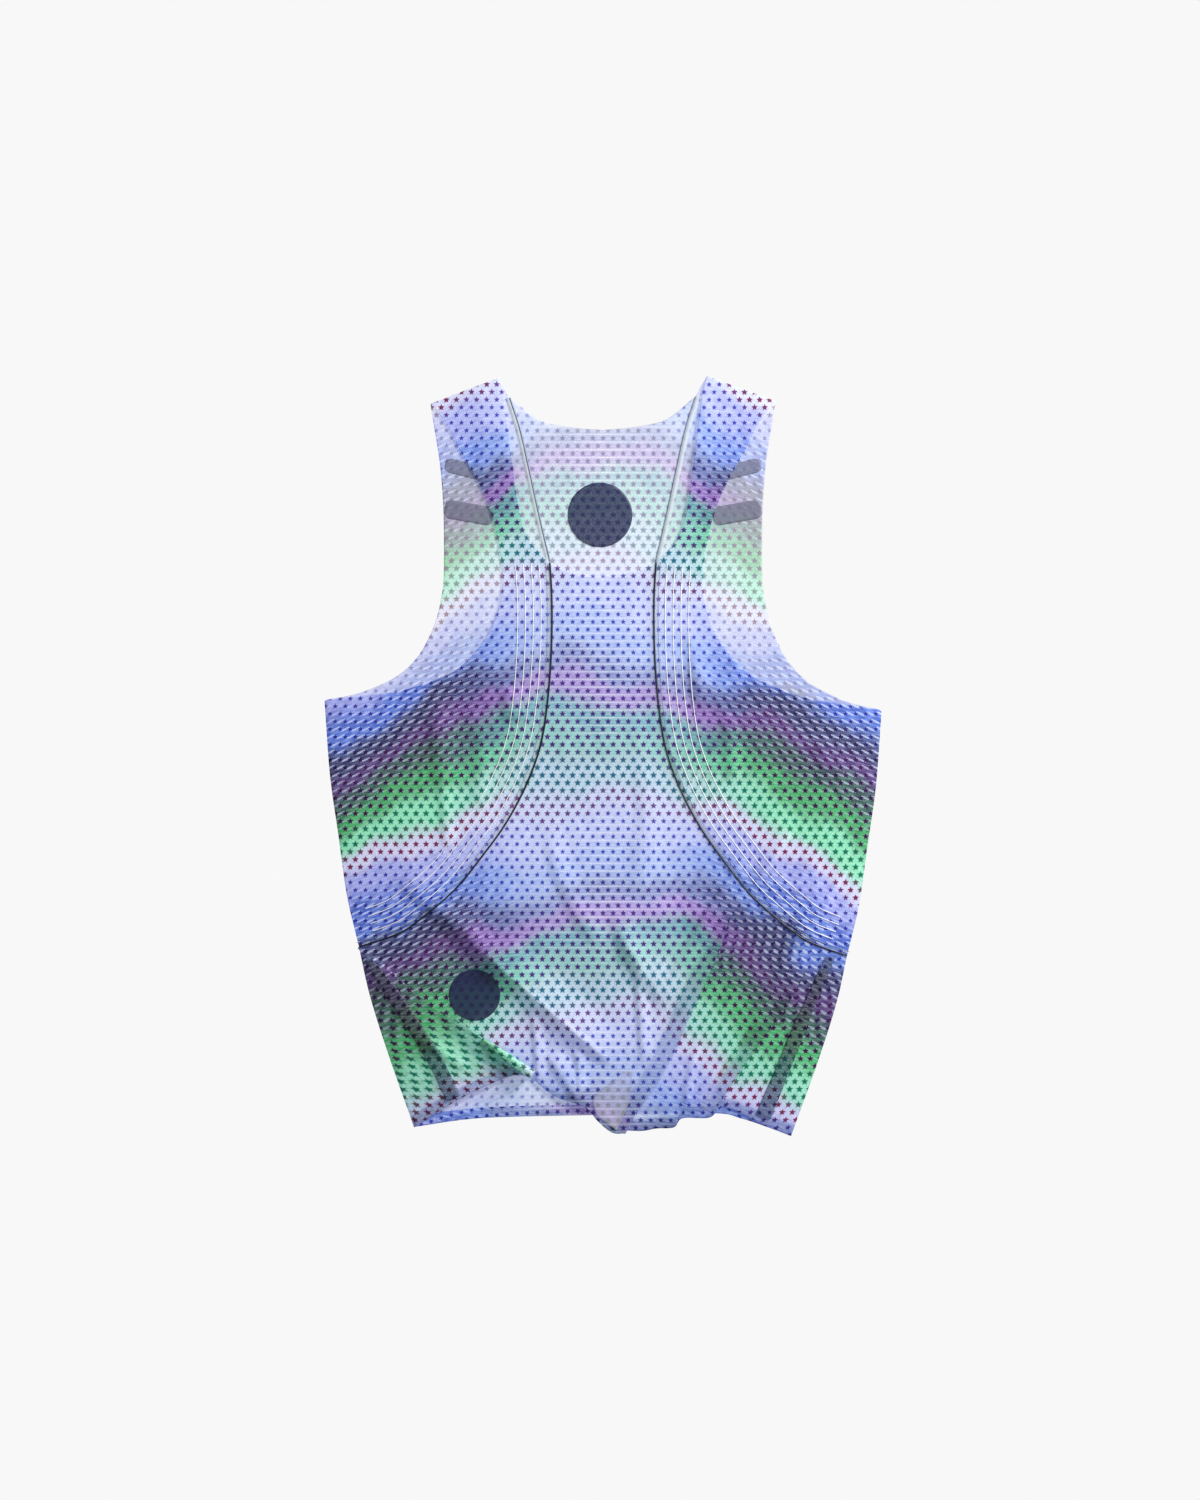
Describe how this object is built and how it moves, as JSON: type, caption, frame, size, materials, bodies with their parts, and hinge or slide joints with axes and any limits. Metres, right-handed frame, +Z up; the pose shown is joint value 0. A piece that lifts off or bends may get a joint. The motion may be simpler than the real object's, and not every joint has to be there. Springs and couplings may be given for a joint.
{
  "type": "running singlet",
  "caption": "Sleeveless running singlet in sheer printed knit, laid flat with its scooped front over its high back, the front hem rucked into knife folds.",
  "frame": {"origin": "middle of the footprint, on the ground that the garment lies on", "axes": "+Z up out of the ground, +Y from the hem to the neck, +X to the right as seen from above"},
  "size_m": [0.499, 0.6808, 0.0121],
  "materials": {
    "front_knit": "sheer printed knit, print side out",
    "back_knit": "sheer printed knit, pale wrong side showing"
  },
  "bodies": {
    "root": {"back_centre": "back_knit", "back_side_left": "back_knit", "back_side_right": "back_knit", "front_centre": "front_knit", "front_side_left": "front_knit", "front_side_right": "front_knit"}
  },
  "joints": []
}
